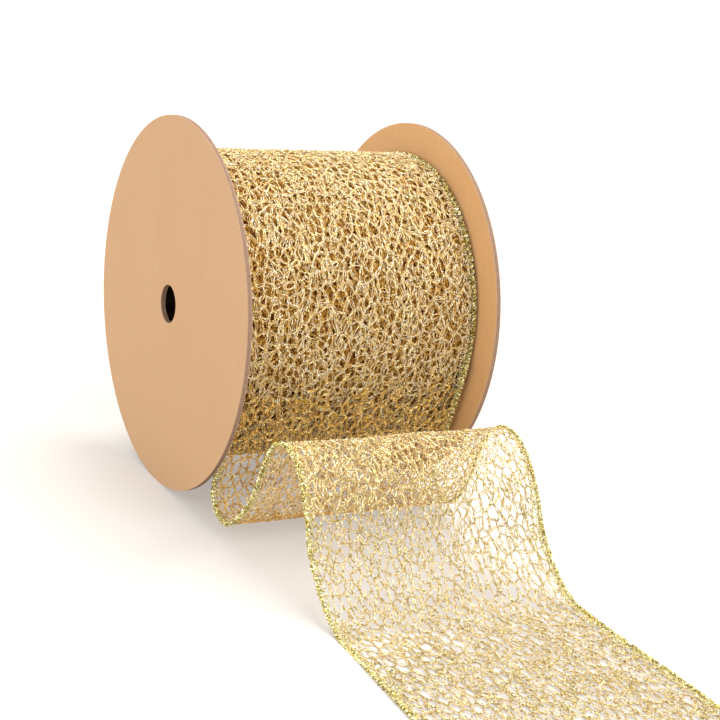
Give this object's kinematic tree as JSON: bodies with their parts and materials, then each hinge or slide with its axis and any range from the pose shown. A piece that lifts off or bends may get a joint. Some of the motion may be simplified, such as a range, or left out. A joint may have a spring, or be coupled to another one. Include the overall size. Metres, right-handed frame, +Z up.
{
  "type": "ribbon spool",
  "caption": "Kraft board spool wound with open gold glitter net ribbon, its free end leaving the roll in a standing loop and lying out flat on the table.",
  "frame": {"origin": "on the spool's own axis, midway between the two flanges", "axes": "+X along the spool's axis, +Z up, -Y the way the ribbon comes off and lies out; flange rims and ribbon rest on z = -0.0465"},
  "size_m": [0.068, 0.1971, 0.093],
  "materials": {
    "kraft_paper": "smooth brown kraft paper, matt with a faint vertical grain",
    "grey_board": "bare grey-brown chipboard, seen on the cut rims",
    "hot_melt_glue": "amber hot-melt glue, satin",
    "clear_tape": "matt clear tape",
    "gold_net": "open net of crinkled metallic gold yarn, glittering",
    "stitched_edge": "dense greenish-gold overlock stitching",
    "edge_wire": "thin bright drawn wire"
  },
  "bodies": {
    "tail": {"tail_net": "gold_net", "tail_left_edge": "stitched_edge", "tail_right_edge": "stitched_edge", "tail_left_wire": "edge_wire", "tail_right_wire": "edge_wire"},
    "spool": {"left_outer_liner": "kraft_paper", "left_board": "grey_board", "left_inner_liner": "kraft_paper", "right_inner_liner": "kraft_paper", "right_board": "grey_board", "right_outer_liner": "kraft_paper", "core_tube": "grey_board", "core_wrap": "kraft_paper", "left_glue_fillet": "hot_melt_glue", "right_glue_fillet": "hot_melt_glue", "start_tape": "clear_tape", "wound_net": "gold_net", "wound_left_edge": "stitched_edge", "wound_right_edge": "stitched_edge"}
  },
  "joints": [
    {"name": "spool_spin", "type": "hinge", "parent": "tail", "child": "spool", "pos_m": [0, 0, 0], "axis": [1, 0, 0], "continuous": true}
  ]
}
